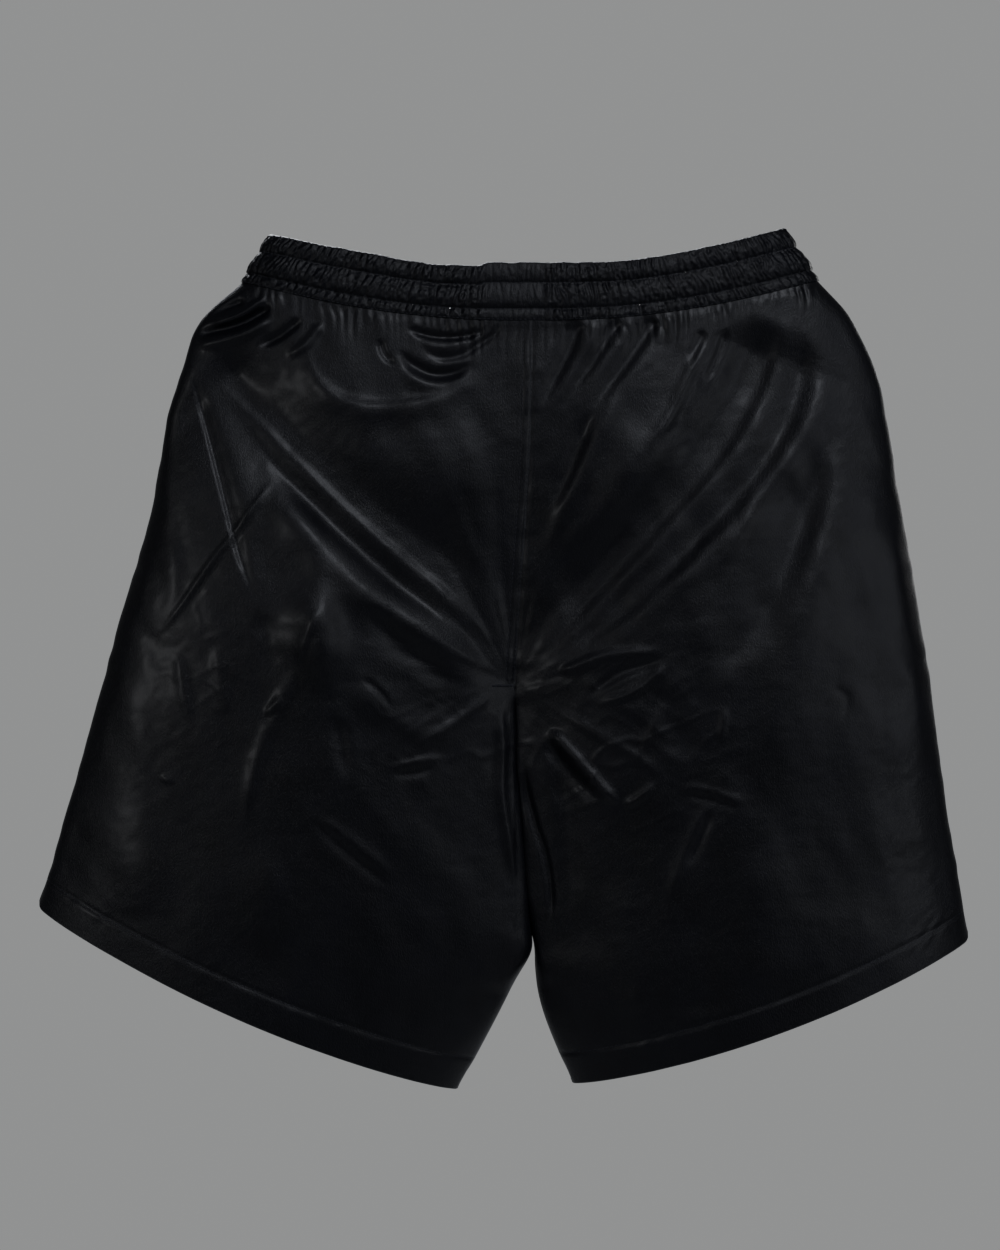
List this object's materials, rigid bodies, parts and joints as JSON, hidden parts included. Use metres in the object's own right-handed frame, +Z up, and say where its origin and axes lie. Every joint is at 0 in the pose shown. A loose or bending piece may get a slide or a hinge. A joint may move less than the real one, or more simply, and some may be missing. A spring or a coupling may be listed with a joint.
{
  "type": "sports shorts",
  "caption": "Loose black satin sports shorts with a gathered elastic waistband and stitched hems, hanging open from the waist.",
  "frame": {"origin": "middle of the waist opening, level with the waistband's top corners, where a hanger or a body holds the shorts", "axes": "+X is across the shorts towards the wearer's right, +Y is the way the wearer faces, so the back of the shorts faces -Y, and +Z is up towards the waist"},
  "size_m": [0.619, 0.0912, 0.572],
  "materials": {
    "satin": "black polyester knit with a soft satin sheen",
    "casing": "the same black knit, gathered",
    "elastic": "woven elastic tape",
    "thread": "black polyester sewing thread",
    "label": "plain woven satin tape"
  },
  "bodies": {
    "root": {"back_panel_left": "satin", "back_panel_right": "satin", "front_panel_left": "satin", "front_panel_right": "satin", "waistband_casing": "casing", "waistband_elastic": "elastic", "hem_turnup_left": "satin", "hem_turnup_right": "satin", "care_label": "label", "drawcord_eyelet_left": "thread", "drawcord_eyelet_right": "thread", "waistband_stitch_lower": "thread", "waistband_stitch_upper": "thread", "back_rise_topstitch_near": "thread", "back_rise_topstitch_far": "thread", "front_rise_topstitch_near": "thread", "front_rise_topstitch_far": "thread", "hem_stitch_left": "thread", "hem_stitch_right": "thread", "crotch_bartack": "thread", "side_seam_overlock_left": "thread", "side_seam_overlock_right": "thread", "inseam_overlock_left": "thread", "inseam_overlock_right": "thread", "back_rise_overlock": "thread", "front_rise_overlock": "thread"}
  },
  "joints": []
}
